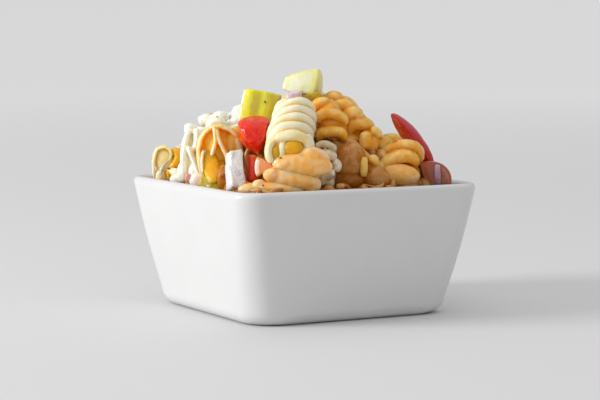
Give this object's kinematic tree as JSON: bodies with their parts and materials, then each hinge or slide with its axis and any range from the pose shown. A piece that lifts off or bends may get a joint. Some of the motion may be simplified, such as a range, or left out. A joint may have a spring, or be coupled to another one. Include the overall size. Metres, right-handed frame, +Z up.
{
  "type": "bowl of pasta salad",
  "caption": "Small square white porcelain bowl with flared walls, heaped with corkscrew pasta salad with diced tomato, pepper, cucumber and cheese.",
  "frame": {"origin": "centre of the bowl's foot, on the surface that it stands on", "axes": "+Z up; X and Y square to the bowl's sides, so its corners lie on the diagonals"},
  "size_m": [0.076, 0.076, 0.0692],
  "materials": {
    "porcelain": "smooth white glaze, glossy",
    "pasta": "cooked corkscrew pasta, moist, from cream to orange-tan",
    "cucumber": "peeled cucumber, pale and wet",
    "green_pepper": "yellow-green pepper, glossy skin",
    "tomato": "ripe tomato and red pepper, wet",
    "cheese": "white cheese, soft",
    "carrot": "orange root vegetable, moist"
  },
  "bodies": {
    "root": {"bowl": "porcelain", "pasta_heap": "pasta", "cucumber_top": "cucumber", "pepper_green": "green_pepper", "tomato_chunk": "tomato", "cheese_cube": "cheese", "pepper_red": "tomato", "carrot_dice": "carrot", "tomato_wedge": "tomato", "tomato_dark": "tomato", "pepper_slice": "green_pepper", "cucumber_back": "cucumber", "tomato_back": "tomato", "cheese_back": "cheese", "pepper_back": "green_pepper"}
  },
  "joints": []
}
